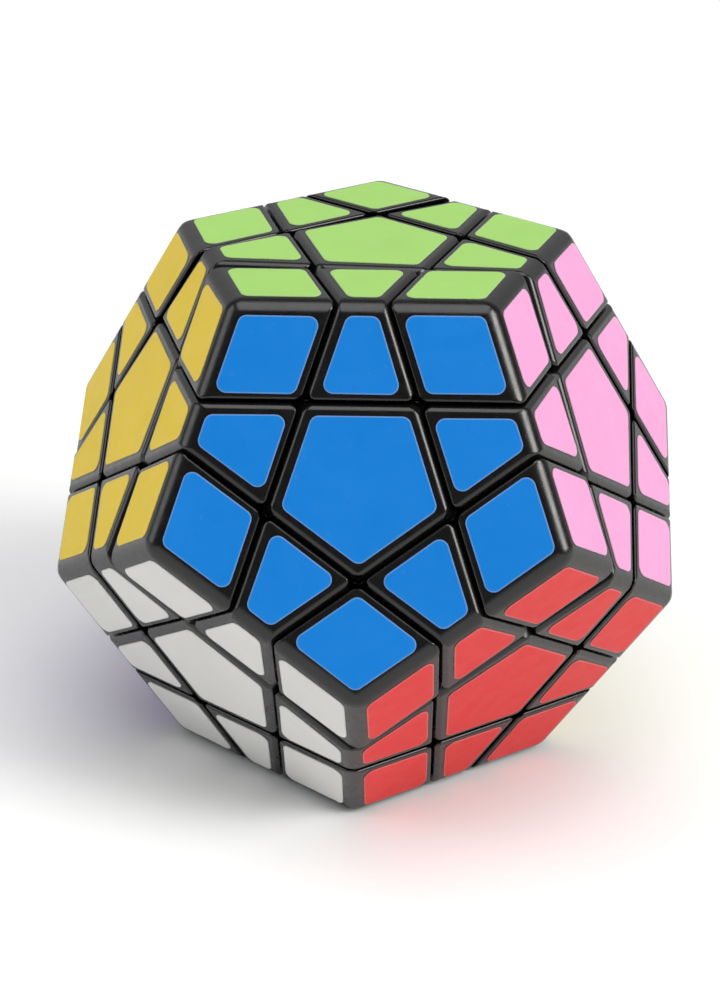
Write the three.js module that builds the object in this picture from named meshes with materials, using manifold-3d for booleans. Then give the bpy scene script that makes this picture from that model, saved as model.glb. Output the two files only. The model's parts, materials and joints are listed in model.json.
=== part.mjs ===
// Dodecahedron twisty puzzle: a solid core with twelve posts carries one sprung centre piece on
// each face, and the centres hold thirty edge pieces and twenty corner pieces by their feet.
// Millimetres, +Z up, standing on one face with the origin at the middle of that face.
//
// A turning layer is bounded by a surface of revolution about its face's axis (see layerTool), so
// a layer of pieces that stay inside it turns freely at any angle against pieces cut back from it.
import * as THREE from 'three';
import { mergeVertices } from 'three/addons/utils/BufferGeometryUtils.js';
import Module from 'manifold-3d';

const wasm = await Module();
wasm.setup();

// ---- driving dimensions (mm) ----
const FACE_TO_FACE = 73;            // across two opposite faces
const LAYER_THICKNESS = 11.5;       // depth of a turning layer under its face
const GAP = 0.5;                    // running gap between neighbouring pieces
const RIDGE_RADIUS = 2.6;           // rounding of the outer ridges, chamfered here

const NECK_ANGLE = 43;              // layer half-angle at the necks, degrees
const FOOT_ANGLE = 51;              // layer half-angle at the feet, degrees
const FOOT_TOP_RADIUS = 29;         // sphere on which the feet slide under their neighbours
const FOOT_BOTTOM_RADIUS = 25.3;    // nothing but hubs and posts is nearer the middle than this
const LAYER_SEGMENTS = 20;          // facets round a layer tool; a multiple of 5 keeps the symmetry

const HUB_RADIUS = 4.8;
const HUB_SEGMENTS = 15;
const HUB_BOTTOM = 14.3;            // heights along a face axis, from the puzzle's middle
const HUB_FLOOR = 2.1;
const POCKET_RADIUS = 3.6;
const SCREW_HOLE_RADIUS = 1.75;
const FLANGE_ANGLE = 24;            // reach of the centre's flange from its axis, degrees
const CAP_THICKNESS = 2;
const CAP_GAP = 0.3;
const SPIGOT_DEPTH = 1.8;
const SPIGOT_RADIUS = 3.25;
const SPIGOT_ROOT = 0.5;            // overlap of the spigot with the cap's plate

const BALL_RADIUS = 9;
const POST_RADIUS = 4;
const POST_TOP = 14;
const SCREW_RADIUS = 1.4;
const SCREW_TIP = 7;
const SCREW_HEAD_RADIUS = 2.8;
const SCREW_HEAD_BOTTOM = 26;
const SCREW_HEAD_HEIGHT = 1.7;
const SCREW_HEAD_CHAMFER = [0.8, 0.7];  // inwards, downwards
const SPRING_WIRE = 0.7;
const SPRING_RADIUS = 2.55;         // to the middle of the wire
const SPRING_TURNS = 5;
const SPRING_STEPS_PER_TURN = 9;
const ROUND_SEGMENTS = 12;
const CORE_SEGMENTS = 8;
const BALL_SEGMENTS = 15;

const FRONT_LAYER_TURN = 1.34;      // the front and rear layers stand a little out of line, degrees
const REAR_LAYER_TURN = -1.99;

const PIN_RADIUS = 1.1;             // locating pins between fixed neighbours
const PIN_LENGTH = 2;
const PIN_DEPTH = 5.5;
const PIN_SEGMENTS = 6;
const MERGE_DISTANCE = 1e-5;

const INRADIUS = FACE_TO_FACE / 2;
const CUT = INRADIUS - LAYER_THICKNESS;
const REACH = 50;                   // half the size of the stock that pieces are cut from
const TOOL_REACH = 3 * REACH;

// ---- faces of the dodecahedron ----
const UP = new THREE.Vector3(0, 0, 1);
const DEG = Math.PI / 180;
const RING_HEIGHT = 1 / Math.sqrt(5);
const AROUND = 72;

// Unit normal at a height along +Z and an angle round from the front (-Y) towards the right (+X).
function normalAt(height, angle) {
  const across = Math.sqrt(1 - height * height);
  return new THREE.Vector3(across * Math.sin(angle * DEG), -across * Math.cos(angle * DEG), height);
}

const NORMALS = { lime: normalAt(1, 0), green: normalAt(-1, 0) };
['blue', 'pink', 'grey', 'orange', 'yellow'].forEach((name, k) => {
  NORMALS[name] = normalAt(RING_HEIGHT, AROUND * k);
});
['red', 'cream', 'sky', 'purple', 'white'].forEach((name, k) => {
  NORMALS[name] = normalAt(-RING_HEIGHT, AROUND * k + AROUND / 2);
});
const FACES = Object.keys(NORMALS);
const TURNING = ['blue', 'orange', 'green'];
const LAYER_TURNS = { blue: FRONT_LAYER_TURN, orange: REAR_LAYER_TURN };

const adjacent = (a, b) => a !== b && NORMALS[a].dot(NORMALS[b]) > RING_HEIGHT / 2;
const EDGES = [];
const CORNERS = [];
FACES.forEach((a, i) => FACES.slice(i + 1).forEach((b, j) => {
  if (!adjacent(a, b)) return;
  EDGES.push([a, b]);
  FACES.slice(i + j + 2).forEach((c) => {
    if (adjacent(a, c) && adjacent(b, c)) CORNERS.push([a, b, c]);
  });
}));

// Rotation that carries +Z to one face's normal and the front (-Y) towards its neighbour.
function faceRotation(face, neighbour) {
  const up = NORMALS[face];
  const towards = NORMALS[neighbour];
  const back = towards.clone().addScaledVector(up, -up.dot(towards)).normalize().negate();
  return new THREE.Matrix4().makeBasis(new THREE.Vector3().crossVectors(back, up), back, up);
}

const firstNeighbour = (face) => FACES.find((other) => adjacent(face, other));

// ---- solids ----
function solidOf(source) {
  const bare = source.clone();
  bare.deleteAttribute('normal');
  bare.deleteAttribute('uv');
  const merged = mergeVertices(bare, MERGE_DISTANCE);
  const corners = merged.index.array;
  const triangles = [];
  for (let i = 0; i < corners.length; i += 3) {
    const [a, b, c] = [corners[i], corners[i + 1], corners[i + 2]];
    if (a !== b && b !== c && c !== a) triangles.push(a, b, c);
  }
  return new wasm.Manifold(new wasm.Mesh({
    numProp: 3,
    vertProperties: merged.attributes.position.array,
    triVerts: Uint32Array.from(triangles),
  }));
}

function geometryOf(solid) {
  const { vertProperties, triVerts } = solid.getMesh();
  const geometry = new THREE.BufferGeometry();
  geometry.setAttribute('position', new THREE.BufferAttribute(Float32Array.from(vertProperties), 3));
  geometry.setIndex(Array.from(triVerts));
  geometry.computeVertexNormals();
  return geometry;
}

// Solid of revolution about +Z from [radius, height] points, listed from the bottom up.
function turned(points, segments, stretch = 1) {
  const profile = points.map(([radius, height]) => new THREE.Vector2(radius * stretch, height));
  return solidOf(new THREE.LatheGeometry(profile, segments).rotateX(Math.PI / 2));
}

const rod = (radius, bottom, top, segments = ROUND_SEGMENTS) => turned(
  [[0, bottom], [radius, bottom], [radius, top], [0, top]], segments);
const moved = (solid, matrix) => solid.transform(matrix.elements);
const above = (solid, normal, offset) => solid.trimByPlane(normal.toArray(), offset);
const below = (solid, normal, offset) => solid.trimByPlane(normal.clone().negate().toArray(), -offset);

// The region that one layer sweeps when it turns: beyond the flat cut outside, inside a cone at
// the necks, and inside a wider cone at the feet. side +1 draws the surface in by half the gap,
// for the layer's own pieces, and -1 pushes it out, for the pieces that stay behind.
function layerTool(side) {
  const shift = side * GAP / 2;
  const coneAt = (angle, radius) => {
    const apex = shift / Math.sin(angle * DEG);
    const slope = Math.tan(angle * DEG);
    const a = 1 + slope * slope;
    const b = apex * slope * slope;
    const height = (b + Math.sqrt(b * b - a * (b * apex - radius * radius))) / a;
    return [(height - apex) * slope, height];
  };
  const cut = CUT + shift;
  const neckApex = shift / Math.sin(NECK_ANGLE * DEG);
  const neckTop = [(cut - neckApex) * Math.tan(NECK_ANGLE * DEG), cut];
  const profile = [
    [0, shift / Math.sin(FOOT_ANGLE * DEG)],
    coneAt(FOOT_ANGLE, FOOT_TOP_RADIUS - shift),
    coneAt(NECK_ANGLE, FOOT_TOP_RADIUS - shift),
    neckTop,
    [TOOL_REACH, cut],
    [TOOL_REACH, TOOL_REACH],
    [0, TOOL_REACH],
  ];
  const roundOut = side > 0 ? 1 : 1 / Math.cos(Math.PI / LAYER_SEGMENTS);
  return turned(profile, LAYER_SEGMENTS, roundOut);
}
const OWN_LAYER = layerTool(+1);
const OTHER_LAYER = layerTool(-1);
const ownLayer = (face) => moved(OWN_LAYER, faceRotation(face, firstNeighbour(face)));
const otherLayer = (face) => moved(OTHER_LAYER, faceRotation(face, firstNeighbour(face)));

// The outer form between the given faces, with its ridges and its vertex chamfered.
function outerBlock(faces) {
  let block = solidOf(new THREE.BoxGeometry(2 * REACH, 2 * REACH, 2 * REACH));
  faces.forEach((face) => { block = below(block, NORMALS[face], INRADIUS); });
  const direction = (...names) => names.reduce(
    (sum, name) => sum.add(NORMALS[name]), new THREE.Vector3()).normalize();
  const chamfer = (...names) => {
    const middle = direction(...names);
    const slope = middle.dot(NORMALS[names[0]]);
    block = below(block, middle, INRADIUS / slope - RIDGE_RADIUS * (1 / slope - 1));
  };
  faces.forEach((a, i) => faces.slice(i + 1).forEach((b) => chamfer(a, b)));
  if (faces.length === 3) chamfer(...faces);
  return faces.length === 1 ? block : above(block, direction(...faces), FOOT_BOTTOM_RADIUS);
}

// ---- canonical pieces, all touching the top face ----
const EDGE_AT = ['lime', 'blue'];
const CORNER_AT = ['lime', 'blue', 'pink'];

function edgeSolid() {
  let solid = outerBlock(EDGE_AT);
  EDGE_AT.forEach((face) => { solid = solid.intersect(ownLayer(face)); });
  FACES.filter((face) => EDGE_AT.every((own) => adjacent(face, own))).forEach((face) => {
    solid = solid.subtract(otherLayer(face));
  });
  return solid;
}

function cornerSolid() {
  return CORNER_AT.reduce((solid, face) => solid.intersect(ownLayer(face)), outerBlock(CORNER_AT));
}

// A centre: pentagonal head, flange over the edges' feet, and hub down to the core's post. Below
// the flat cuts, each side of the flange is a plane that touches the neighbouring layer's cone.
function centreOutside() {
  const underside = FOOT_TOP_RADIUS + GAP / 2;
  const flangeAngle = FLANGE_ANGLE * DEG;
  const rim = 1 / Math.cos(Math.PI / HUB_SEGMENTS);
  const envelope = turned([
    [0, HUB_BOTTOM],
    [HUB_RADIUS, HUB_BOTTOM],
    [HUB_RADIUS, Math.sqrt(underside ** 2 - HUB_RADIUS ** 2)],
    [underside * Math.sin(flangeAngle) * rim, underside * Math.cos(flangeAngle)],
    [TOOL_REACH, underside * Math.cos(flangeAngle)],
    [TOOL_REACH, TOOL_REACH],
    [0, TOOL_REACH],
  ], HUB_SEGMENTS);
  let solid = outerBlock(['lime']);
  FACES.filter((face) => adjacent('lime', face)).forEach((face) => {
    const neighbour = NORMALS[face];
    const across = neighbour.clone().addScaledVector(UP, -neighbour.dot(UP)).normalize();
    const lean = Math.acos(neighbour.dot(UP)) - NECK_ANGLE * DEG;
    const flangeSide = across.multiplyScalar(Math.cos(lean)).addScaledVector(UP, -Math.sin(lean));
    solid = below(below(solid, neighbour, CUT - GAP / 2), flangeSide, -GAP / 2);
  });
  return solid.intersect(envelope);
}

const CENTRE_OUTSIDE = centreOutside();
const BODY_TOP = INRADIUS - CAP_THICKNESS - CAP_GAP;

// The spring's pocket, with the screw's hole in its floor.
function pocket(top) {
  const floor = HUB_BOTTOM + HUB_FLOOR;
  return turned([
    [0, HUB_BOTTOM - 1], [SCREW_HOLE_RADIUS, HUB_BOTTOM - 1], [SCREW_HOLE_RADIUS, floor],
    [POCKET_RADIUS, floor], [POCKET_RADIUS, top], [0, top],
  ], ROUND_SEGMENTS);
}

const openCentre = () => below(CENTRE_OUTSIDE, UP, BODY_TOP).subtract(pocket(REACH));
const closedCentre = () => CENTRE_OUTSIDE.subtract(pocket(BODY_TOP));
const cap = () => above(CENTRE_OUTSIDE, UP, INRADIUS - CAP_THICKNESS).add(
  rod(SPIGOT_RADIUS, BODY_TOP - SPIGOT_DEPTH, INRADIUS - CAP_THICKNESS + SPIGOT_ROOT));

function screw(segments) {
  const top = SCREW_HEAD_BOTTOM + SCREW_HEAD_HEIGHT;
  const [inwards, downwards] = SCREW_HEAD_CHAMFER;
  return turned([
    [0, SCREW_TIP], [SCREW_RADIUS, SCREW_TIP + SCREW_RADIUS], [SCREW_RADIUS, SCREW_HEAD_BOTTOM],
    [SCREW_HEAD_RADIUS, SCREW_HEAD_BOTTOM], [SCREW_HEAD_RADIUS, top - downwards],
    [SCREW_HEAD_RADIUS - inwards, top], [0, top],
  ], segments);
}

class Helix extends THREE.Curve {
  getPoint(t, target = new THREE.Vector3()) {
    const clear = CAP_GAP + SPRING_WIRE / 2;
    const bottom = HUB_BOTTOM + HUB_FLOOR + clear;
    const angle = 2 * Math.PI * SPRING_TURNS * t;
    const height = bottom + (SCREW_HEAD_BOTTOM - clear - bottom) * t;
    return target.set(SPRING_RADIUS * Math.cos(angle), SPRING_RADIUS * Math.sin(angle), height);
  }
}

function springGeometry() {
  const wire = new THREE.Shape().absarc(0, 0, SPRING_WIRE / 2, 0, 2 * Math.PI);
  return new THREE.ExtrudeGeometry(wire, {
    steps: SPRING_STEPS_PER_TURN * SPRING_TURNS, curveSegments: 3, extrudePath: new Helix(),
  });
}

// The core: a ball with a post to each face. The posts of the turning faces are bored for their
// screws, and the other nine screws are one with it.
function coreSolid() {
  let solid = solidOf(new THREE.SphereGeometry(BALL_RADIUS, BALL_SEGMENTS, CORE_SEGMENTS));
  FACES.forEach((face) => {
    const place = faceRotation(face, firstNeighbour(face));
    solid = solid.add(moved(rod(POST_RADIUS, 0, POST_TOP, CORE_SEGMENTS), place));
  });
  FACES.forEach((face) => {
    const place = faceRotation(face, firstNeighbour(face));
    solid = TURNING.includes(face)
      ? solid.subtract(moved(rod(SCREW_RADIUS + CAP_GAP, SCREW_TIP - CAP_GAP, REACH, CORE_SEGMENTS), place))
      : solid.add(moved(screw(CORE_SEGMENTS), place));
  });
  return solid;
}

// ---- materials ----
const plastic = () => new THREE.MeshStandardMaterial({ color: 0x17171a, roughness: 0.32, metalness: 0 });
const corePlastic = () => new THREE.MeshStandardMaterial({ color: 0xd8d8d4, roughness: 0.45, metalness: 0 });
const steel = () => new THREE.MeshStandardMaterial({ color: 0xb4b6ba, roughness: 0.3, metalness: 1 });

// ---- assembly ----
const puzzle = new THREE.Group();
puzzle.position.z = INRADIUS;

function place(name, geometry, material, rotation = new THREE.Matrix4()) {
  const mesh = new THREE.Mesh(geometry, material);
  mesh.name = name;
  mesh.quaternion.setFromRotationMatrix(rotation);
  puzzle.add(mesh);
}

// Rotation carrying the canonical edge or corner to the same kind of piece between other faces.
function pieceRotation(faces, home) {
  const order = faces.slice();
  if (faces.length === 3) {
    const turn = (names) => NORMALS[names[0]].clone().cross(NORMALS[names[1]]).dot(NORMALS[names[2]]);
    if (turn(order) * turn(home) < 0) order.reverse();
  }
  return faceRotation(order[0], order[1]).multiply(faceRotation(home[0], home[1]).invert());
}

const EDGE = edgeSolid();
const CORNER = cornerSolid();
const pieceSolid = (faces) => (faces.length === 2
  ? moved(EDGE, pieceRotation(faces, EDGE_AT)) : moved(CORNER, pieceRotation(faces, CORNER_AT)));

// A pin across the cut between a fixed corner and its edge on two of the corner's faces.
function locatingPin(corner, edge) {
  const across = NORMALS[corner.find((face) => !edge.includes(face))];
  const inPlane = edge.map((face) => NORMALS[face]);
  const rows = new THREE.Matrix3().set(...inPlane[0].toArray(), ...inPlane[1].toArray(), ...across.toArray());
  const depth = INRADIUS - PIN_DEPTH;
  const middle = new THREE.Vector3(depth, depth, CUT).applyMatrix3(rows.invert());
  const turn = new THREE.Quaternion().setFromUnitVectors(UP, across);
  const matrix = new THREE.Matrix4().compose(middle, turn, new THREE.Vector3(1, 1, 1));
  return moved(rod(PIN_RADIUS, -PIN_LENGTH / 2, PIN_LENGTH / 2, PIN_SEGMENTS), matrix);
}

const layerOf = (faces) => TURNING.find((face) => faces.includes(face));

// A piece's rotation once its layer has turned: rotation is where it belongs with all in line.
function seated(faces, rotation) {
  const layer = layerOf(faces);
  const turn = new THREE.Matrix4();
  if (layer in LAYER_TURNS) turn.makeRotationAxis(NORMALS[layer], LAYER_TURNS[layer] * DEG);
  return turn.multiply(rotation);
}

const fixedEdges = EDGES.filter((faces) => !layerOf(faces));
const fixedCorners = CORNERS.filter((faces) => !layerOf(faces));

place('core', geometryOf(coreSolid()), corePlastic());

const OPEN_CENTRE = geometryOf(openCentre());
const CLOSED_CENTRE = geometryOf(closedCentre());
FACES.forEach((face) => {
  const rotation = seated([face], faceRotation(face, firstNeighbour(face)));
  place(`centre_${face}`, TURNING.includes(face) ? OPEN_CENTRE : CLOSED_CENTRE, plastic(), rotation);
});

const CAP = geometryOf(cap());
const SCREW = geometryOf(screw(ROUND_SEGMENTS));
const SPRING = springGeometry();
TURNING.forEach((face) => {
  const rotation = faceRotation(face, firstNeighbour(face));
  place(`cap_${face}`, CAP, plastic(), seated([face], rotation));
  place(`screw_${face}`, SCREW, steel(), rotation);
  place(`spring_${face}`, SPRING, steel(), rotation);
});

const EDGE_GEOMETRY = geometryOf(EDGE);
const CORNER_GEOMETRY = geometryOf(CORNER);
EDGES.filter(layerOf).forEach((faces) => {
  place(`edge_${faces.join('_')}`, EDGE_GEOMETRY, plastic(), seated(faces, pieceRotation(faces, EDGE_AT)));
});
CORNERS.filter(layerOf).forEach((faces) => {
  place(`corner_${faces.join('_')}`, CORNER_GEOMETRY, plastic(), seated(faces, pieceRotation(faces, CORNER_AT)));
});

// Each fixed corner carries the fixed edges beside it, and an edge between two goes to the lower.
const taken = new Set();
fixedCorners.slice().reverse().forEach((corner) => {
  const beside = fixedEdges.filter((edge) => !taken.has(edge) && edge.every((face) => corner.includes(face)));
  const parts = beside.flatMap((edge) => [pieceSolid(edge), locatingPin(corner, edge)]);
  beside.forEach((edge) => taken.add(edge));
  const joined = parts.reduce((sum, part) => sum.add(part), pieceSolid(corner));
  place(`fixed_${corner.join('_')}`, geometryOf(joined), plastic());
});
fixedEdges.filter((edge) => !taken.has(edge)).forEach((faces) => {
  place(`edge_${faces.join('_')}`, EDGE_GEOMETRY, plastic(), pieceRotation(faces, EDGE_AT));
});

export default puzzle;
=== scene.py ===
import itertools
import json
import math
import random

import bmesh
import bpy
from mathutils import Matrix, Vector


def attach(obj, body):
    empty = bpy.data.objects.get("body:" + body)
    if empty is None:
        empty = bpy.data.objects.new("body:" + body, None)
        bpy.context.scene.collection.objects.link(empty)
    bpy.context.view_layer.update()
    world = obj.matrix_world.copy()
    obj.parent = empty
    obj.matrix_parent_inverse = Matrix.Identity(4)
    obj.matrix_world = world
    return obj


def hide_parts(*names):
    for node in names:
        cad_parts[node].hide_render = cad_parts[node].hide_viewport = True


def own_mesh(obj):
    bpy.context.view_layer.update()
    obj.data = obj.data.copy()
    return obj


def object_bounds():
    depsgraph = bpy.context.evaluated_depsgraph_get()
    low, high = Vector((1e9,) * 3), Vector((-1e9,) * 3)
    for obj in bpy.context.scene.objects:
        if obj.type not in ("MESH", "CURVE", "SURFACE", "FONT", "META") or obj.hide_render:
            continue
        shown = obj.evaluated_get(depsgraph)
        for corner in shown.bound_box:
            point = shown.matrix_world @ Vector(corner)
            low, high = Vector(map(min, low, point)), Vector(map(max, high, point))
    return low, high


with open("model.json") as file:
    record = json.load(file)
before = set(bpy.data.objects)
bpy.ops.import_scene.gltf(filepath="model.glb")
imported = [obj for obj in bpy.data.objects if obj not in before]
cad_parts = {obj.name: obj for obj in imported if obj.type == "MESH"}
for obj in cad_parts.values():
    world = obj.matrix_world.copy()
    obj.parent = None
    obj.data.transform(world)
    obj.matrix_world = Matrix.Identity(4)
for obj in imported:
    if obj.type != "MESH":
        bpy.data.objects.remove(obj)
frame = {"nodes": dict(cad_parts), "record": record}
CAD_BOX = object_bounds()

# Sizes are millimetres in the puzzle's own axes, with the origin at its middle, until place() puts
# a mesh in the frame in metres.
MM = 0.001
INRADIUS = 36.5
MIDDLE = Vector((0, 0, CAD_BOX[0].z + INRADIUS * MM))

# ---- the layer surfaces that the CAD pieces follow ----
LAYER_THICKNESS = 11.5
CUT = INRADIUS - LAYER_THICKNESS
GAP = 0.5
NECK_ANGLE = math.radians(43)
FOOT_ANGLE = math.radians(51)
FOOT_TOP = 29
FOOT_BOTTOM = 25.3
STALK_TOP = 33
TOOL_SEGMENTS = 80
REACH = 150

# ---- the mouldings ----
STICKER_THICKNESS = 0.12
FACE = INRADIUS - STICKER_THICKNESS     # the plastic lies under its stickers
RIDGE_BEVEL = 1.6
RIM_BEVEL = 0.6
UPRIGHT_BEVEL = 1.25
DEEP_BEVEL = 0.3
BEVEL_SEGMENTS = 5
CAP_THICKNESS = 2
CAP_SEAM = 0.08
FLANGE_ANGLE = math.radians(24)         # round the middle, from the hub to the flange's edge
FLANGE_STEPS = 8
HUB_RADIUS = 4.8
HUB_BOTTOM = 14.3
HUB_CHAMFER = 0.3
HUB_FLOOR = 2.1
POCKET_RADIUS = 3.6
POCKET_CHAMFER = 0.4                    # half of the widening at the pocket's mouth
POCKET_SEGMENTS = 48
SPIGOT_RADIUS = POCKET_RADIUS - 0.3
SPIGOT_LENGTH = 2
SPIGOT_CHAMFER = (0.3, 0.4)             # across, along
SCREW_HOLE = 1.75

# ---- the stickers ----
GROOVE_MARGIN = 1.38                    # from a groove's middle to the sticker
RIDGE_MARGIN = 1.72                     # from a ridge's sharp line to the sticker
STICKER_CORNER = 1.2
STICKER_ROUND = 0.04                    # along the top of the cut edge
CUT_EDGE = 0.17                         # how far in from the outline the paler edge shows
ROUND_STEPS = 7
LAID_OFF = 0.12                         # how far a sticker may lie off its place
LAID_SKEW = 0.6                         # degrees
LAYING_SEED = 12

# ---- the hardware ----
BALL_RADIUS = 9
POST_RADIUS = 4
POST_FOOT = 2
POST_TOP = 14
POST_CHAMFER = 0.4
POST_SEGMENTS = 40
BORE_CLEARANCE = 0.1
BORE_SEGMENTS = 32
SCREW_RADIUS = 1.4
SCREW_SEGMENTS = 32
SCREW_TIP = 7
SCREW_TAPER = 2.5
SCREW_POINT = 0.35                      # share of the radius left at the tip
THREAD_PITCH = 0.9
THREAD_DEPTH = 0.28
THREAD_TOP = POST_TOP + 2
ROWS_PER_PITCH = 8
HEAD_RADIUS = 2.8
HEAD_BOTTOM = 26
HEAD_HEIGHT = 1.7
HEAD_CROWN = ((-0.1, 0), (0, 0.1), (0, 0.75), (-0.2, 1.2), (-0.7, 1.55), (-1.3, HEAD_HEIGHT))
FILLET = 0.15                           # between the shank and its head
RECESS_REACH = 1.5
RECESS_HALF_WIDTH = 0.28
RECESS_FLOOR = HEAD_BOTTOM + 0.55
RECESS_LEAN = 0.9
RECESS_END = -17.4                      # offset of the leaning ends' planes
WASHER_RADIUS = 3.1
WASHER_THICKNESS = 0.4
WASHER_PLAY = 0.05
WASHER_HOLE = SCREW_RADIUS + 0.15
WASHER_CHAMFER = 0.08
WASHER_SEGMENTS = 48
SPRING_WIRE = 0.7
SPRING_RADIUS = 2.55
SPRING_TURNS = 6
SPRING_STEPS_PER_TURN = 40
WIRE_SEGMENTS = 12
CLOSED_COIL = 0.9                       # turns at each end that lie flat
CLOSED_RISE = SPRING_WIRE / 2
SPRING_PLAY = 0.02

# ---- the layers that stand a little out of line, in degrees ----
LAYER_TURNS = {"blue": 1.34, "orange": -1.99}

RING_HEIGHT = 1 / math.sqrt(5)
FIFTH = math.radians(72)
UP = Vector((0, 0, 1))
OUTER, WALL, DEEP = 1, 2, 3             # kinds of a block's faces


def normal_at(height, angle):
    across = math.sqrt(1 - height * height)
    return Vector((across * math.sin(angle), -across * math.cos(angle), height))


NORMALS = {"lime": UP.copy(), "green": -UP}
for k, (upper, lower) in enumerate(zip(("blue", "pink", "grey", "orange", "yellow"),
                                       ("red", "cream", "sky", "purple", "white"))):
    NORMALS[upper] = normal_at(RING_HEIGHT, FIFTH * k)
    NORMALS[lower] = normal_at(-RING_HEIGHT, FIFTH * (k + 0.5))
FACES = ("lime", "green", "blue", "pink", "grey", "orange", "yellow", "red", "cream", "sky", "purple",
         "white")


def adjacent(a, b):
    return a != b and NORMALS[a].dot(NORMALS[b]) > 0.4


EDGES = [(a, b) for i, a in enumerate(FACES) for b in FACES[i + 1:] if adjacent(a, b)]
CORNERS = [(a, b, c) for a, b in EDGES for c in FACES[FACES.index(b) + 1:]
           if adjacent(a, c) and adjacent(b, c)]


def neighbours(faces):
    return [f for f in FACES if all(adjacent(f, own) for own in faces)]


def direction(faces):
    return sum((NORMALS[f] for f in faces), Vector()).normalized()


def meeting(limits):
    """The point at the given heights over three faces."""
    rows = Matrix([NORMALS[f] for f, _ in limits])
    return rows.inverted() @ Vector([height for _, height in limits])


def face_rotation(face, neighbour):
    up = NORMALS[face]
    back = (up * up.dot(NORMALS[neighbour]) - NORMALS[neighbour]).normalized()
    return Matrix((back.cross(up), back, up)).transposed()


def from_top(face):
    """Carries what is modelled round the top face's axis to the face's own axis."""
    return face_rotation(face, neighbours([face])[0])


def piece_rotation(faces, home):
    """Carries the piece modelled at home to the same kind of piece at faces."""
    order = list(faces)
    if len(faces) == 3:
        def hand(names):
            return NORMALS[names[0]].cross(NORMALS[names[1]]).dot(NORMALS[names[2]])
        if hand(order) * hand(home) < 0:
            order.reverse()
    return face_rotation(order[0], order[1]) @ face_rotation(home[0], home[1]).inverted()


def layer_turn(faces):
    """How the pieces at faces stand turned with their layer, away from being all in line."""
    layer = next((f for f in faces if f in LAYER_TURNS), None)
    return Matrix.Rotation(math.radians(LAYER_TURNS[layer]), 4, NORMALS[layer]) if layer else Matrix()


# ---- mesh tools ----
def mesh_from(bm):
    mesh = bpy.data.meshes.new("mesh")
    bmesh.ops.recalc_face_normals(bm, faces=bm.faces[:])
    bm.to_mesh(mesh)
    bm.free()
    return mesh


def with_modifier(mesh, kind, **settings):
    obj = bpy.data.objects.new("work", mesh)
    bpy.context.scene.collection.objects.link(obj)
    modifier = obj.modifiers.new("work", kind)
    for key, value in settings.items():
        setattr(modifier, key, value)
    bpy.context.view_layer.update()
    result = bpy.data.meshes.new_from_object(obj.evaluated_get(bpy.context.evaluated_depsgraph_get()))
    bpy.data.objects.remove(obj)
    return result


def boolean(mesh, operation, other):
    tool = bpy.data.objects.new("tool", other)
    bpy.context.scene.collection.objects.link(tool)
    result = with_modifier(mesh, "BOOLEAN", object=tool, operation=operation, solver="EXACT")
    bpy.data.objects.remove(tool)
    return result


def convex(planes):
    """The closed convex solid inside (normal, offset, kind) planes, with weighted bevels on its edges."""
    bm = bmesh.new()
    bmesh.ops.create_cube(bm, size=4 * INRADIUS)
    kinds = bm.faces.layers.int.new("kind")
    for normal, offset, kind in planes:
        everything = bm.verts[:] + bm.edges[:] + bm.faces[:]
        cut = bmesh.ops.bisect_plane(bm, geom=everything, dist=1e-4, plane_co=normal * offset,
                                     plane_no=normal, clear_outer=True)["geom_cut"]
        rim = [e for e in cut if isinstance(e, bmesh.types.BMEdge)]
        if rim:
            for face in bmesh.ops.contextual_create(bm, geom=rim)["faces"]:
                face[kinds] = kind
    widths = {(OUTER, OUTER): RIDGE_BEVEL, (OUTER, WALL): RIM_BEVEL, (WALL, WALL): UPRIGHT_BEVEL}
    weight = bm.edges.layers.float.new("bevel_weight_edge")
    for edge in bm.edges:
        pair = tuple(sorted(face[kinds] for face in edge.link_faces))
        buried = max(vert.co.length for vert in edge.verts) < STALK_TOP
        edge[weight] = (DEEP_BEVEL if buried else widths.get(pair, DEEP_BEVEL)) / RIDGE_BEVEL
    return with_modifier(mesh_from(bm), "BEVEL", limit_method="WEIGHT", width=RIDGE_BEVEL,
                         segments=BEVEL_SEGMENTS)


def bridge(bm, low, high):
    """Faces between two rings of vertices, either of which may be a single point."""
    count = max(len(low), len(high))
    faces = []
    for i in range(count):
        j = (i + 1) % count
        corners = (low[i % len(low)], low[j % len(low)], high[j % len(high)], high[i % len(high)])
        faces.append(bm.faces.new(list(dict.fromkeys(corners))))
    return faces


def turned(points, segments=TOOL_SEGMENTS, stretch=1):
    """Solid of revolution about +Z from (radius, height) points, listed from the bottom up."""
    bm = bmesh.new()
    rings = []
    for radius, height in points:
        if radius == 0:
            rings.append([bm.verts.new((0, 0, height))])
            continue
        angles = [2 * math.pi * i / segments for i in range(segments)]
        rings.append([bm.verts.new((radius * stretch * math.sin(a), -radius * stretch * math.cos(a), height))
                      for a in angles])
    for low, high in zip(rings, rings[1:]):
        bridge(bm, low, high)
    return mesh_from(bm)


def turned_copy(mesh, rotation):
    copy = mesh.copy()
    copy.transform(rotation.to_4x4())
    return copy


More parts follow.
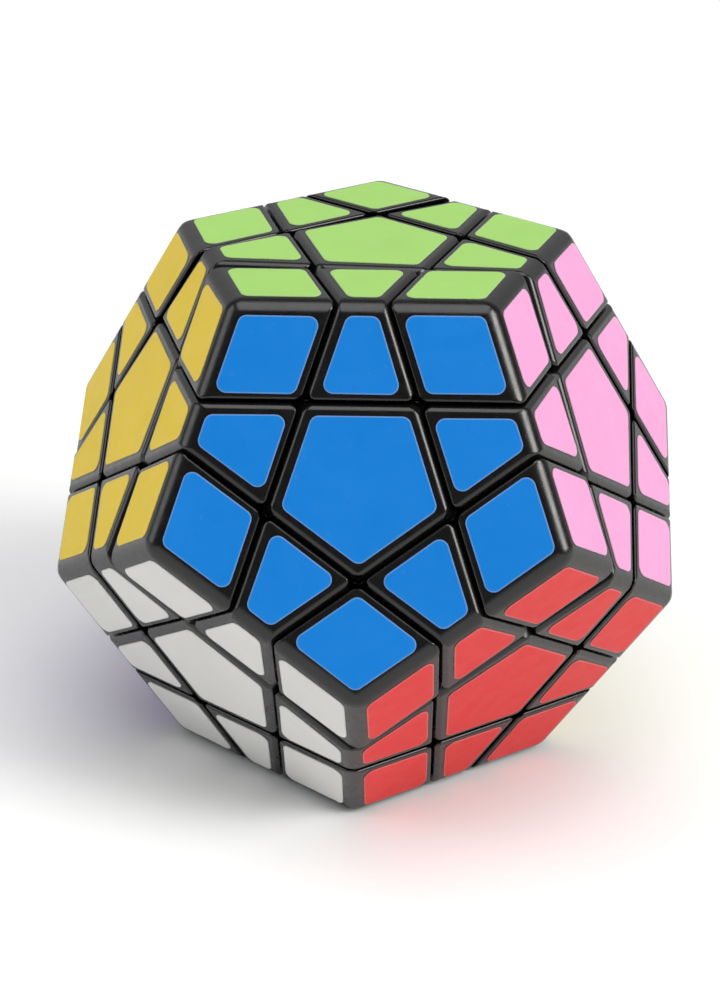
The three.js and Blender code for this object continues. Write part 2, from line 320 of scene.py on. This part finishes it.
def layer_tool(side):
    """What one layer sweeps, drawn in by half the gap (side 1) or pushed out by it (side -1)."""
    shift = side * GAP / 2

    def cone_at(angle, radius):
        """Where the cone, shifted along its normal, meets the sphere of this radius."""
        apex = shift / math.sin(angle)
        slope = math.tan(angle)
        a = 1 + slope * slope
        b = apex * slope * slope
        height = (b + math.sqrt(b * b - a * (b * apex - radius * radius))) / a
        return (height - apex) * slope, height

    cut = CUT + shift
    neck_top = ((cut - shift / math.sin(NECK_ANGLE)) * math.tan(NECK_ANGLE), cut)
    profile = [(0, shift / math.sin(FOOT_ANGLE)), cone_at(FOOT_ANGLE, FOOT_TOP - shift),
               cone_at(NECK_ANGLE, FOOT_TOP - shift), neck_top, (REACH, cut), (REACH, REACH), (0, REACH)]
    return turned(profile, stretch=1 if side > 0 else 1 / math.cos(math.pi / TOOL_SEGMENTS))


OWN_LAYER = layer_tool(1)
OTHER_LAYER = layer_tool(-1)


def own_layer(face):
    return turned_copy(OWN_LAYER, from_top(face))


def other_layer(face):
    return turned_copy(OTHER_LAYER, from_top(face))


# ---- the mouldings, each modelled once where it touches the top face ----
EDGE_HOME = ("lime", "blue")
CORNER_HOME = ("lime", "blue", "pink")


def flange_side(axis, other):
    """Normal of the plane through the middle that touches the neck cone of the other face's layer."""
    neighbour = NORMALS[other]
    across = (neighbour - axis * neighbour.dot(axis)).normalized()
    lean = math.acos(neighbour.dot(axis)) - NECK_ANGLE
    return across * math.cos(lean) - axis * math.sin(lean)


def outer_walls(faces):
    planes = [(NORMALS[f], FACE, OUTER) for f in faces]
    planes += [(-NORMALS[f], -CUT - GAP / 2, WALL) for f in faces if len(faces) > 1]
    planes += [(NORMALS[f], CUT - GAP / 2, WALL) for f in neighbours(faces)]
    return planes


def edge_mesh():
    middle = direction(EDGE_HOME)
    sides = convex([(flange_side(middle, f), -GAP / 2, DEEP) for f in neighbours(EDGE_HOME)])
    foot = convex([(middle, STALK_TOP, DEEP), (-middle, -FOOT_BOTTOM, DEEP)])
    for face in EDGE_HOME:
        foot = boolean(foot, "INTERSECT", own_layer(face))
    for face in neighbours(EDGE_HOME):
        foot = boolean(foot, "DIFFERENCE", other_layer(face))
    return boolean(boolean(convex(outer_walls(EDGE_HOME)), "INTERSECT", sides), "UNION", foot)


def corner_mesh():
    middle = direction(CORNER_HOME)
    foot = convex([(middle, STALK_TOP, DEEP), (-middle, -FOOT_BOTTOM, DEEP)])
    for face in CORNER_HOME:
        foot = boolean(foot, "INTERSECT", own_layer(face))
    return boolean(convex(outer_walls(CORNER_HOME)), "UNION", foot)


def centre_mesh():
    underside = FOOT_TOP + GAP / 2
    arc = [math.asin(HUB_RADIUS / underside) + FLANGE_ANGLE * i / FLANGE_STEPS
           for i in range(FLANGE_STEPS + 1)]
    envelope = turned([(0, HUB_BOTTOM), (HUB_RADIUS - HUB_CHAMFER, HUB_BOTTOM),
                       (HUB_RADIUS, HUB_BOTTOM + HUB_CHAMFER)]
                      + [(underside * math.sin(a), underside * math.cos(a)) for a in arc]
                      + [(REACH, underside * math.cos(arc[-1])), (REACH, REACH), (0, REACH)])
    top = INRADIUS - CAP_THICKNESS - CAP_SEAM
    planes = [(UP, top, DEEP), (-UP, -HUB_BOTTOM + 1, DEEP)]
    for face in neighbours(["lime"]):
        planes += [(NORMALS[face], CUT - GAP / 2, WALL), (flange_side(UP, face), -GAP / 2, DEEP)]
    floor = HUB_BOTTOM + HUB_FLOOR
    pocket = turned([(0, HUB_BOTTOM - 1), (SCREW_HOLE, HUB_BOTTOM - 1), (SCREW_HOLE, floor),
                     (POCKET_RADIUS, floor), (POCKET_RADIUS, top - POCKET_CHAMFER),
                     (POCKET_RADIUS + 2 * POCKET_CHAMFER, top + POCKET_CHAMFER),
                     (0, top + POCKET_CHAMFER)], POCKET_SEGMENTS)
    return boolean(boolean(convex(planes), "INTERSECT", envelope), "DIFFERENCE", pocket)


def cap_mesh():
    bottom = INRADIUS - CAP_THICKNESS
    plate = convex(outer_walls(["lime"]) + [(-UP, -bottom, DEEP)])
    end = bottom - SPIGOT_LENGTH
    root = bottom + CAP_THICKNESS / 4
    across, along = SPIGOT_CHAMFER
    spigot = turned([(0, end), (SPIGOT_RADIUS - across, end), (SPIGOT_RADIUS, end + along),
                     (SPIGOT_RADIUS, root), (0, root)], POCKET_SEGMENTS)
    return boolean(plate, "UNION", spigot)


# ---- the hardware, each modelled once under the top face ----
def screw_mesh():
    """Pan head with a cross recess, and a thread wound up the shank."""
    bm = bmesh.new()
    shares = [i / SCREW_SEGMENTS for i in range(SCREW_SEGMENTS)]

    def ring(height, radii):
        return [bm.verts.new((radius * math.cos(2 * math.pi * share), radius * math.sin(2 * math.pi * share),
                              height)) for share, radius in zip(shares, radii)]

    rings = []
    rows = int((THREAD_TOP - SCREW_TIP) / THREAD_PITCH * ROWS_PER_PITCH)
    for row in range(rows + 1):
        height = SCREW_TIP + (THREAD_TOP - SCREW_TIP) * row / rows
        fade = min(1, (THREAD_TOP - height) / THREAD_PITCH)
        taper = min(1, SCREW_POINT + (height - SCREW_TIP) / SCREW_TAPER)
        depths = [THREAD_DEPTH * abs(2 * ((height / THREAD_PITCH - share) % 1) - 1) * fade
                  for share in shares]
        rings.append(ring(height, [(SCREW_RADIUS - depth) * taper for depth in depths]))
    profile = [(SCREW_RADIUS, THREAD_TOP + 0.2), (SCREW_RADIUS, HEAD_BOTTOM - FILLET),
               (SCREW_RADIUS + FILLET, HEAD_BOTTOM)]
    profile += [(HEAD_RADIUS + across, HEAD_BOTTOM + rise) for across, rise in HEAD_CROWN]
    rings += [ring(height, [radius] * SCREW_SEGMENTS) for radius, height in profile]
    for low, high in zip(rings, rings[1:]):
        bridge(bm, low, high)
    bm.faces.new(list(reversed(rings[0])))
    bm.faces.new(rings[-1])
    screw = mesh_from(bm)
    planes = [(Vector((side, 0, 0)), RECESS_REACH, DEEP) for side in (1, -1)]
    planes += [(Vector((0, side, 0)), RECESS_HALF_WIDTH, DEEP) for side in (1, -1)]
    planes += [(UP, HEAD_BOTTOM + HEAD_HEIGHT + 0.2, DEEP), (-UP, -RECESS_FLOOR, DEEP)]
    planes += [(Vector((side, 0, -RECESS_LEAN)).normalized(), RECESS_END, DEEP) for side in (1, -1)]
    slot = convex(planes)
    for turn in (0, math.pi / 2):
        screw = boolean(screw, "DIFFERENCE", turned_copy(slot, Matrix.Rotation(turn, 3, "Z")))
    return screw


def washer_mesh():
    high = HEAD_BOTTOM - WASHER_PLAY
    low = high - WASHER_THICKNESS
    ring = turned([(0, low), (WASHER_RADIUS - WASHER_CHAMFER, low), (WASHER_RADIUS, low + WASHER_CHAMFER),
                   (WASHER_RADIUS, high - WASHER_CHAMFER), (WASHER_RADIUS - WASHER_CHAMFER, high), (0, high)],
                  WASHER_SEGMENTS)
    hole = turned([(0, low - 1), (WASHER_HOLE, low - 1), (WASHER_HOLE, high + 1), (0, high + 1)],
                  WASHER_SEGMENTS)
    return boolean(ring, "DIFFERENCE", hole)


def spring_mesh():
    """A compression spring whose end coils lie flat on its neighbours."""
    wire = SPRING_WIRE / 2
    bottom = HUB_BOTTOM + HUB_FLOOR + wire + SPRING_PLAY
    top = HEAD_BOTTOM - WASHER_PLAY - WASHER_THICKNESS - wire - SPRING_PLAY
    steps = SPRING_STEPS_PER_TURN * SPRING_TURNS
    bm = bmesh.new()
    rings = []
    for step in range(steps + 1):
        turns = SPRING_TURNS * step / steps
        share = min(1, max(0, (turns - CLOSED_COIL) / (SPRING_TURNS - 2 * CLOSED_COIL)))
        eased = share * share * (3 - 2 * share)
        rise = bottom + CLOSED_RISE * min(1, turns / CLOSED_COIL)
        fall = top - CLOSED_RISE * min(1, (SPRING_TURNS - turns) / CLOSED_COIL)
        height = rise + (fall - rise) * (eased * 0.25 + share * 0.75)
        angle = 2 * math.pi * turns
        out = Vector((math.cos(angle), math.sin(angle), 0))
        around = [2 * math.pi * i / WIRE_SEGMENTS for i in range(WIRE_SEGMENTS)]
        rings.append([bm.verts.new(out * (SPRING_RADIUS + wire * math.cos(a))
                                   + UP * (height + wire * math.sin(a))) for a in around])
    for low, high in zip(rings, rings[1:]):
        bridge(bm, low, high)
    bm.faces.new(rings[0])
    bm.faces.new(rings[-1])
    return mesh_from(bm)


def core_mesh():
    ball = bmesh.new()
    bmesh.ops.create_icosphere(ball, subdivisions=4, radius=BALL_RADIUS)
    core = mesh_from(ball)
    post = turned([(0, POST_FOOT), (POST_RADIUS, POST_FOOT), (POST_RADIUS, POST_TOP - POST_CHAMFER),
                   (POST_RADIUS - POST_CHAMFER, POST_TOP), (0, POST_TOP)], POST_SEGMENTS)
    radius = SCREW_RADIUS + BORE_CLEARANCE
    bore = turned([(0, SCREW_TIP - 0.5), (radius, SCREW_TIP - 0.5), (radius, POST_TOP - 0.5),
                   (radius + 0.7, POST_TOP + 0.2), (0, POST_TOP + 0.2)], BORE_SEGMENTS)
    for face in FACES:
        core = boolean(core, "UNION", turned_copy(post, from_top(face)))
    for face in FACES:
        core = boolean(core, "DIFFERENCE", turned_copy(bore, from_top(face)))
    return core


# ---- stickers ----
def sticker_outline(face, limits):
    """Corners, in order round the face, of the region inside (other face, height, side) limits."""
    corners = []
    for (a, height_a, _), (b, height_b, _) in itertools.combinations(limits, 2):
        if a == b:
            continue
        point = meeting([(face, INRADIUS), (a, height_a), (b, height_b)])
        if all(side * (NORMALS[f].dot(point) - height) < 1e-3 for f, height, side in limits):
            corners.append(point)
    centre = sum(corners, Vector()) / len(corners)
    right = (corners[0] - centre).normalized()
    ahead = NORMALS[face].cross(right)
    corners.sort(key=lambda p: math.atan2((p - centre).dot(ahead), (p - centre).dot(right)))
    return corners


def bisected(corners):
    """Each corner of an outline, the direction straight inwards there, and half its angle."""
    for before, corner, after in zip(corners[-1:] + corners[:-1], corners, corners[1:] + corners[:1]):
        back = (before - corner).normalized()
        ahead = (after - corner).normalized()
        yield corner, (back + ahead).normalized(), back.angle(ahead) / 2


def rounded(corners, radius, up):
    """The outline with each corner replaced by an arc."""
    outline = []
    for corner, inwards, half in bisected(corners):
        centre = corner + inwards * (radius / math.sin(half))
        sweep = math.pi - 2 * half
        for step in range(ROUND_STEPS + 1):
            turn = Matrix.Rotation(sweep * (step / ROUND_STEPS - 0.5), 3, up)
            outline.append(centre - turn @ inwards * radius)
    return outline


def sticker_mesh(face, limits):
    """A sticker and its middle; its cut edge has the second material."""
    up = NORMALS[face]
    corners = sticker_outline(face, limits)
    bm = bmesh.new()
    rings = []
    for inset, drop in ((0, STICKER_THICKNESS), (0, STICKER_ROUND), (STICKER_ROUND, 0), (CUT_EDGE, 0)):
        shrunk = [corner + inwards * (inset / math.sin(half)) - up * drop
                  for corner, inwards, half in bisected(corners)]
        rings.append([bm.verts.new(p) for p in rounded(shrunk, STICKER_CORNER - inset, up)])
    for low, high in zip(rings, rings[1:]):
        for side in bridge(bm, low, high):
            side.material_index = 1
    bm.faces.new(rings[-1])
    bm.faces.new(list(reversed(rings[0]))).material_index = 1
    return mesh_from(bm), sum(corners, Vector()) / len(corners)


# ---- materials ----
# Texture scales are for coordinates in metres, so 1000 is a cell of a millimetre.
SCRATCH_GRAIN = (90, 6500, 1100)
BRUSHED_GRAIN = (500, 500, 9000)


class Nodes:
    """A Principled material and short ways of adding nodes to it."""

    def __init__(self, name, **sockets):
        self.material = bpy.data.materials.new(name)
        self.material.use_nodes = True
        self.tree = self.material.node_tree
        self.shader = self.tree.nodes["Principled BSDF"]
        for key, value in sockets.items():
            self.shader.inputs[key.replace("_", " ")].default_value = value
        self.place = self.add("ShaderNodeTexCoord").outputs["Object"]

    def add(self, kind, settings=None, **inputs):
        node = self.tree.nodes.new(kind)
        for key, value in (settings or {}).items():
            setattr(node, key, value)
        for key, value in inputs.items():
            self.put(node.inputs[key.replace("_", " ")], value)
        return node

    def put(self, socket, value):
        if isinstance(value, bpy.types.NodeSocket):
            self.tree.links.new(value, socket)
        else:
            socket.default_value = value

    def noise(self, scale, detail=2, roughness=0.5, vector=None):
        return self.add("ShaderNodeTexNoise", Scale=scale, Detail=detail, Roughness=roughness,
                        Vector=vector or self.place).outputs["Fac"]

    def stretched(self, scale, rotation):
        turned_place = self.add("ShaderNodeMapping", Vector=self.place, Rotation=rotation).outputs["Vector"]
        return self.add("ShaderNodeMapping", Vector=turned_place, Scale=scale).outputs["Vector"]

    def band(self, value, low, high, start=0.0, end=1.0):
        return self.add("ShaderNodeMapRange", Value=value, From_Min=low, From_Max=high,
                        To_Min=start, To_Max=end).outputs["Result"]

    def maths(self, operation, a, b):
        node = self.add("ShaderNodeMath", {"operation": operation})
        self.put(node.inputs[0], a)
        self.put(node.inputs[1], b)
        return node.outputs["Value"]

    def mix(self, share, a, b):
        node = self.add("ShaderNodeMix", {"data_type": "RGBA"}, Factor=share, A=a, B=b)
        return node.outputs["Result"]

    def bump(self, height, strength, distance, before=None):
        node = self.add("ShaderNodeBump", Height=height, Strength=strength, Distance=distance)
        if before is not None:
            self.put(node.inputs["Normal"], before)
        return node.outputs["Normal"]

    def scratches(self, seed):
        """Fine straight hairlines, in three directions, from 0 to 1."""
        total = None
        for turn in range(3):
            angle = (seed + turn) * 1.9
            lines = self.noise(1, 1, 0.5, self.stretched(SCRATCH_GRAIN, (angle * 0.7, angle, angle * 1.3)))
            line = self.band(lines, 0.74, 0.79)
            total = line if total is None else self.maths("MAXIMUM", total, line)
        return total

    def specks(self, scale, size, share):
        """Small round specks, from 0 to 1, in a share of the cells; size is a share of a cell."""
        cells = self.add("ShaderNodeTexVoronoi", Scale=scale, Vector=self.place)
        inside = self.band(cells.outputs["Distance"], size, size * 0.6)
        chosen = self.add("ShaderNodeSeparateColor", Color=cells.outputs["Color"]).outputs["Red"]
        return self.maths("MULTIPLY", inside, self.band(chosen, share, share - 0.001))


def rgba(colour, shade=1):
    return (*(c * shade for c in colour), 1)


def paler(colour, towards, share):
    return tuple(c + (towards - c) * share for c in colour)


def black_plastic():
    n = Nodes("black_plastic", Specular_IOR_Level=0.52, IOR=1.5)
    cloud = n.noise(260, 4, 0.6)
    scratch = n.scratches(1)
    dust = n.maths("MAXIMUM", n.specks(450, 0.03, 0.05), n.specks(1300, 0.05, 0.04))
    tone = n.mix(cloud, rgba((0.0030, 0.0028, 0.0026)), rgba((0.0062, 0.0057, 0.0052)))
    tone = n.mix(n.maths("MULTIPLY", scratch, 0.05), tone, rgba((0.05, 0.05, 0.05)))
    tone = n.mix(n.maths("MULTIPLY", dust, 0.6), tone, rgba((0.30, 0.28, 0.25)))
    n.put(n.shader.inputs["Base Color"], tone)
    rough = n.band(n.noise(700, 3), 0.3, 0.7, 0.21, 0.30)
    n.put(n.shader.inputs["Roughness"], n.maths("MAXIMUM", rough, n.maths("MULTIPLY", dust, 0.8)))
    grain = n.bump(n.noise(5200, 2), 0.10, 0.00002)
    n.put(n.shader.inputs["Normal"], n.bump(scratch, 0.05, 0.00001, grain))
    return n.material


def vinyl(name, colour):
    n = Nodes(name, Specular_IOR_Level=0.22, IOR=1.48)
    light = tuple(min(1, c * 1.05 + 0.006) for c in colour)
    worn = rgba(paler(colour, 0.9, 0.5))
    tone = n.mix(n.noise(90, 3, 0.55), rgba(colour, 0.94), rgba(light))
    scratch = n.scratches(4)
    tone = n.mix(n.maths("MULTIPLY", scratch, 0.04), tone, worn)
    speck = n.specks(240, 0.03, 0.05)
    n.put(n.shader.inputs["Base Color"], n.mix(n.maths("MULTIPLY", speck, 0.5), tone, worn))
    n.put(n.shader.inputs["Roughness"], n.band(n.noise(420, 3), 0.3, 0.7, 0.40, 0.52))
    peel = n.bump(n.noise(1500, 2), 0.08, 0.00004)
    n.put(n.shader.inputs["Normal"], n.bump(scratch, 0.2, 0.00001, peel))
    return n.material


def vinyl_edge(name, colour):
    """The paler cut edge of a sticker."""
    pale = paler(colour, 0.6, 0.17)
    n = Nodes(name, Specular_IOR_Level=0.4)
    n.put(n.shader.inputs["Base Color"], n.mix(n.noise(2600, 2), rgba(pale, 0.85), rgba(pale)))
    n.put(n.shader.inputs["Roughness"], n.band(n.noise(1800, 2), 0.3, 0.7, 0.45, 0.65))
    return n.material


def steel(name, colour, rough):
    n = Nodes(name, Metallic=1.0)
    brushed = n.noise(1, 3, 0.6, n.stretched(BRUSHED_GRAIN, (0.3, 0.2, 0)))
    n.put(n.shader.inputs["Base Color"], n.mix(brushed, rgba(colour, 0.8), rgba(colour)))
    n.put(n.shader.inputs["Roughness"], n.band(brushed, 0.2, 0.8, rough - 0.06, rough + 0.12))
    n.put(n.shader.inputs["Normal"], n.bump(brushed, 0.15, 0.00001))
    return n.material


def core_plastic():
    n = Nodes("core_plastic", Specular_IOR_Level=0.45)
    tone = n.mix(n.noise(180, 3), rgba((0.56, 0.55, 0.51)), rgba((0.66, 0.65, 0.61)))
    n.put(n.shader.inputs["Base Color"], tone)
    n.put(n.shader.inputs["Roughness"], n.band(n.noise(900, 3), 0.3, 0.7, 0.42, 0.58))
    n.put(n.shader.inputs["Normal"], n.bump(n.noise(3800, 2), 0.15, 0.00003))
    return n.material


STICKER_COLOURS = {
    "lime": (0.342, 0.613, 0.141), "green": (0.006, 0.190, 0.055), "blue": (0.001, 0.178, 0.575),
    "pink": (0.730, 0.303, 0.541), "grey": (0.170, 0.180, 0.190), "orange": (0.790, 0.140, 0.008),
    "yellow": (0.770, 0.550, 0.020), "red": (0.650, 0.032, 0.033), "cream": (0.800, 0.720, 0.440),
    "sky": (0.070, 0.490, 0.740), "purple": (0.130, 0.030, 0.340), "white": (0.690, 0.685, 0.665),
}


# ---- placing ----
def finish_mesh(mesh, sharp=35):
    """Smooth shading that stays flat on the flats, with edges over sharp degrees kept sharp."""
    bm = bmesh.new()
    bm.from_mesh(mesh)
    bmesh.ops.remove_doubles(bm, verts=bm.verts[:], dist=1e-4)
    for face in bm.faces:
        face.smooth = True
    for edge in bm.edges:
        edge.smooth = len(edge.link_faces) == 2 and edge.calc_face_angle(0) < math.radians(sharp)
    done = bpy.data.meshes.new("shaded")
    bm.to_mesh(done)
    bm.free()
    return with_modifier(done, "WEIGHTED_NORMAL", keep_sharp=True, weight=50, mode="FACE_AREA")


def place(name, mesh, matrix, materials, body, stands_for=()):
    """Puts a mesh in the frame: matrix in the puzzle's axes, then millimetres to metres."""
    mesh = mesh.copy()
    mesh.name = name
    mesh.transform(Matrix.Translation(MIDDLE) @ Matrix.Scale(MM, 4) @ matrix)
    for material in materials:
        mesh.materials.append(material)
    obj = bpy.data.objects.new(name, mesh)
    bpy.context.scene.collection.objects.link(obj)
    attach(obj, body)
    if stands_for:
        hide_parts(*stands_for)
    return obj


NODE_BODY = {node: body for body, nodes in frame["record"]["behaviour"]["bodies"].items() for node in nodes}
CORE_BODY = NODE_BODY["core"]
LAYER_BODIES = {face: NODE_BODY["edge_" + "_".join(next(e for e in EDGES if face in e))]
                for face in ("blue", "orange", "green")}


def body_of(faces):
    return next((LAYER_BODIES[f] for f in faces if f in LAYER_BODIES), CORE_BODY)


def cad_node(kind, faces):
    """The CAD node that holds this edge or corner: its own, or the fixed group that it is part of."""
    own = f"{kind}_" + "_".join(faces)
    if own in frame["nodes"]:
        return own
    return next(n for n in frame["nodes"] if n.startswith("fixed_") and set(faces) <= set(n.split("_")[1:]))


# ---- camera ----
CAMERA_AZIMUTH = math.radians(2.21)
CAMERA_ELEVATION = math.radians(25.96)
CAMERA_ROLL = math.radians(1.35)
CAMERA_DISTANCE = 8.12                  # inradii from the puzzle's middle
CAMERA_LENS = 76.9
CAMERA_SENSOR = 36
CAMERA_SHIFT = (-0.0094, -0.0043)
CAMERA_NEAREST = 0.01                   # metres

# ---- studio, in metres from the puzzle's middle; angles in degrees, from the front to the right ----
FLOOR_HALF = 3.0
FLOOR_TONES = ((0.92, 0.92, 0.915), (0.95, 0.95, 0.945))
# name, azimuth, elevation, distance, size, watts, colour
LIGHTS = (("key", 68, 36, 5.5, (2.1, 3.0), 225.0, (1, 0.985, 0.96)),
          ("overhead", 5, 80, 6.0, (5.2, 5.2), 235.0, (1, 1, 1)),
          ("fill", -80, 30, 5.5, (2.5, 3.5), 66.0, (0.96, 0.98, 1)))
COVE_COLOUR = (0.97, 0.98, 1.0, 1)
# How the cove's brightness goes with the way looked: from this share of Z or Y, to that one, the
# brightness at the first and at the second.
HORIZON_FADE = (0.02, 0.28, 0.95, 0.07)
REAR_WALL = (0.3, 0.85, 0.0, 0.6)


def make_camera():
    data = bpy.data.cameras.new("camera")
    data.lens = CAMERA_LENS
    data.sensor_width = CAMERA_SENSOR
    data.shift_x, data.shift_y = CAMERA_SHIFT
    data.clip_start = CAMERA_NEAREST
    camera = bpy.data.objects.new("camera", data)
    bpy.context.scene.collection.objects.link(camera)
    back = Vector((math.sin(CAMERA_AZIMUTH) * math.cos(CAMERA_ELEVATION),
                   -math.cos(CAMERA_AZIMUTH) * math.cos(CAMERA_ELEVATION), math.sin(CAMERA_ELEVATION)))
    right = Vector((math.cos(CAMERA_AZIMUTH), math.sin(CAMERA_AZIMUTH), 0))
    up = back.cross(right)
    x = right * math.cos(CAMERA_ROLL) + up * math.sin(CAMERA_ROLL)
    y = up * math.cos(CAMERA_ROLL) - right * math.sin(CAMERA_ROLL)
    turn = Matrix((x, y, back)).transposed().to_4x4()
    camera.matrix_world = Matrix.Translation(MIDDLE + back * CAMERA_DISTANCE * INRADIUS * MM) @ turn
    bpy.context.scene.camera = camera


def area_light(name, azimuth, elevation, distance, size, watts, colour):
    data = bpy.data.lights.new(name, "AREA")
    data.shape = "RECTANGLE"
    data.size, data.size_y = size
    data.energy = watts
    data.color = colour
    light = bpy.data.objects.new(name, data)
    bpy.context.scene.collection.objects.link(light)
    a, e = math.radians(azimuth), math.radians(elevation)
    towards = Vector((math.sin(a) * math.cos(e), -math.cos(a) * math.cos(e), math.sin(e)))
    light.location = MIDDLE + towards * distance
    light.rotation_euler = towards.to_track_quat("Z", "Y").to_euler()


def make_floor():
    floor = bpy.data.meshes.new("floor")
    z = CAD_BOX[0].z
    corners = [(x * FLOOR_HALF, y * FLOOR_HALF, z) for x, y in ((-1, -1), (1, -1), (1, 1), (-1, 1))]
    floor.from_pydata(corners, [], [(0, 1, 2, 3)])
    ground = Nodes("floor", Specular_IOR_Level=0.2, Roughness=0.75)
    dark, light = FLOOR_TONES
    ground.put(ground.shader.inputs["Base Color"], ground.mix(ground.noise(9, 3), rgba(dark), rgba(light)))
    floor.materials.append(ground.material)
    obj = bpy.data.objects.new("floor", floor)
    bpy.context.scene.collection.objects.link(obj)


def make_world():
    """A pale studio cove: bright round the horizon, dim overhead, with a pale wall behind."""
    world = bpy.data.worlds.new("studio")
    world.use_nodes = True
    tree = world.node_tree
    background = tree.nodes["Background"]
    background.inputs["Color"].default_value = COVE_COLOUR
    ways = tree.nodes.new("ShaderNodeTexCoord")
    split = tree.nodes.new("ShaderNodeSeparateXYZ")
    either = tree.nodes.new("ShaderNodeMath")
    either.operation = "MAXIMUM"
    tree.links.new(ways.outputs["Generated"], split.inputs["Vector"])
    for i, (axis, numbers) in enumerate((("Z", HORIZON_FADE), ("Y", REAR_WALL))):
        fade = tree.nodes.new("ShaderNodeMapRange")
        for socket, value in zip(("From Min", "From Max", "To Min", "To Max"), numbers):
            fade.inputs[socket].default_value = value
        tree.links.new(split.outputs[axis], fade.inputs["Value"])
        tree.links.new(fade.outputs["Result"], either.inputs[i])
    tree.links.new(either.outputs["Value"], background.inputs["Strength"])
    bpy.context.scene.world = world


def make_studio():
    make_floor()
    make_world()
    for light in LIGHTS:
        area_light(*light)
    bpy.context.scene.view_settings.view_transform = "Standard"


# ---- the puzzle ----
SINE = math.sqrt(1 - RING_HEIGHT ** 2)
GROOVE_NEAR = CUT - GROOVE_MARGIN * SINE
GROOVE_FAR = CUT + GROOVE_MARGIN * SINE
RIDGE_LINE = INRADIUS - RIDGE_MARGIN * SINE


class Stickers:
    """Lays stickers, each a little off its place, as a hand does."""

    def __init__(self):
        self.vinyls = {f: vinyl(f"sticker_{f}", STICKER_COLOURS[f]) for f in FACES}
        self.cut_edges = {f: vinyl_edge(f"sticker_edge_{f}", STICKER_COLOURS[f]) for f in FACES}
        self.chance = random.Random(LAYING_SEED)

    def lay(self, name, face, limits, body, turn):
        mesh, centre = sticker_mesh(face, limits)
        slide = Vector([self.chance.uniform(-LAID_OFF, LAID_OFF) for _ in range(3)])
        slide -= NORMALS[face] * slide.dot(NORMALS[face])
        skew = Matrix.Rotation(math.radians(self.chance.uniform(-LAID_SKEW, LAID_SKEW)), 4, NORMALS[face])
        laid = Matrix.Translation(centre + slide) @ skew @ Matrix.Translation(-centre)
        materials = [self.vinyls[face], self.cut_edges[face]]
        place(name, finish_mesh(mesh, 60), turn @ laid, materials, body)


def make_centres(plastic, stickers):
    """The middle of each face: centre body, cap and sticker, and the sprung screw that holds them."""
    centre, cap = finish_mesh(centre_mesh()), finish_mesh(cap_mesh())
    screw, washer, spring = finish_mesh(screw_mesh()), finish_mesh(washer_mesh()), finish_mesh(spring_mesh())
    screw_steel = steel("screw_steel", (0.55, 0.55, 0.56), 0.34)
    spring_steel = steel("spring_steel", (0.62, 0.61, 0.6), 0.24)
    for face in FACES:
        def own_node(kind):
            node = f"{kind}_{face}"
            return [node] if node in frame["nodes"] else []

        rotation = from_top(face).to_4x4()
        body = NODE_BODY[f"centre_{face}"]
        turn = layer_turn([face])
        seat = turn @ rotation
        place(f"moulded_centre_{face}", centre, seat, [plastic], body, [f"centre_{face}"])
        place(f"moulded_cap_{face}", cap, seat, [plastic], body, own_node("cap"))
        limits = [(f, GROOVE_NEAR, 1) for f in neighbours([face])]
        stickers.lay(f"sticker_{face}_centre", face, limits, body, turn)
        place(f"steel_screw_{face}", screw, rotation, [screw_steel], CORE_BODY,
              own_node("screw"))
        place(f"steel_washer_{face}", washer, rotation, [screw_steel], CORE_BODY)
        coil = place(f"steel_spring_{face}", spring, rotation, [spring_steel], CORE_BODY,
                     own_node("spring"))
        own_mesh(coil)


def make_ring(kind, home, mesh, places, plastic, stickers):
    """All pieces of one kind, edges or corners, with their stickers."""
    for faces in places:
        body = body_of(faces)
        turn = layer_turn(faces)
        seat = turn @ piece_rotation(faces, home).to_4x4()
        place(f"moulded_{kind}_{'_'.join(faces)}", mesh, seat, [plastic], body,
              [cad_node(kind, faces)])
        for face in faces:
            others = [f for f in faces if f != face]
            limits = [(f, GROOVE_FAR, -1) for f in others] + [(f, RIDGE_LINE, 1) for f in others]
            limits += [(f, GROOVE_NEAR, 1) for f in neighbours(faces)]
            stickers.lay(f"sticker_{face}_{kind}_{'_'.join(others)}", face, limits, body, turn)


def make_puzzle():
    plastic = black_plastic()
    stickers = Stickers()
    place("moulded_core", finish_mesh(core_mesh()), Matrix(), [core_plastic()], CORE_BODY,
          ["core"])
    make_centres(plastic, stickers)
    make_ring("edge", EDGE_HOME, finish_mesh(edge_mesh()), EDGES, plastic, stickers)
    make_ring("corner", CORNER_HOME, finish_mesh(corner_mesh()), CORNERS, plastic, stickers)


make_camera()
make_studio()
make_puzzle()
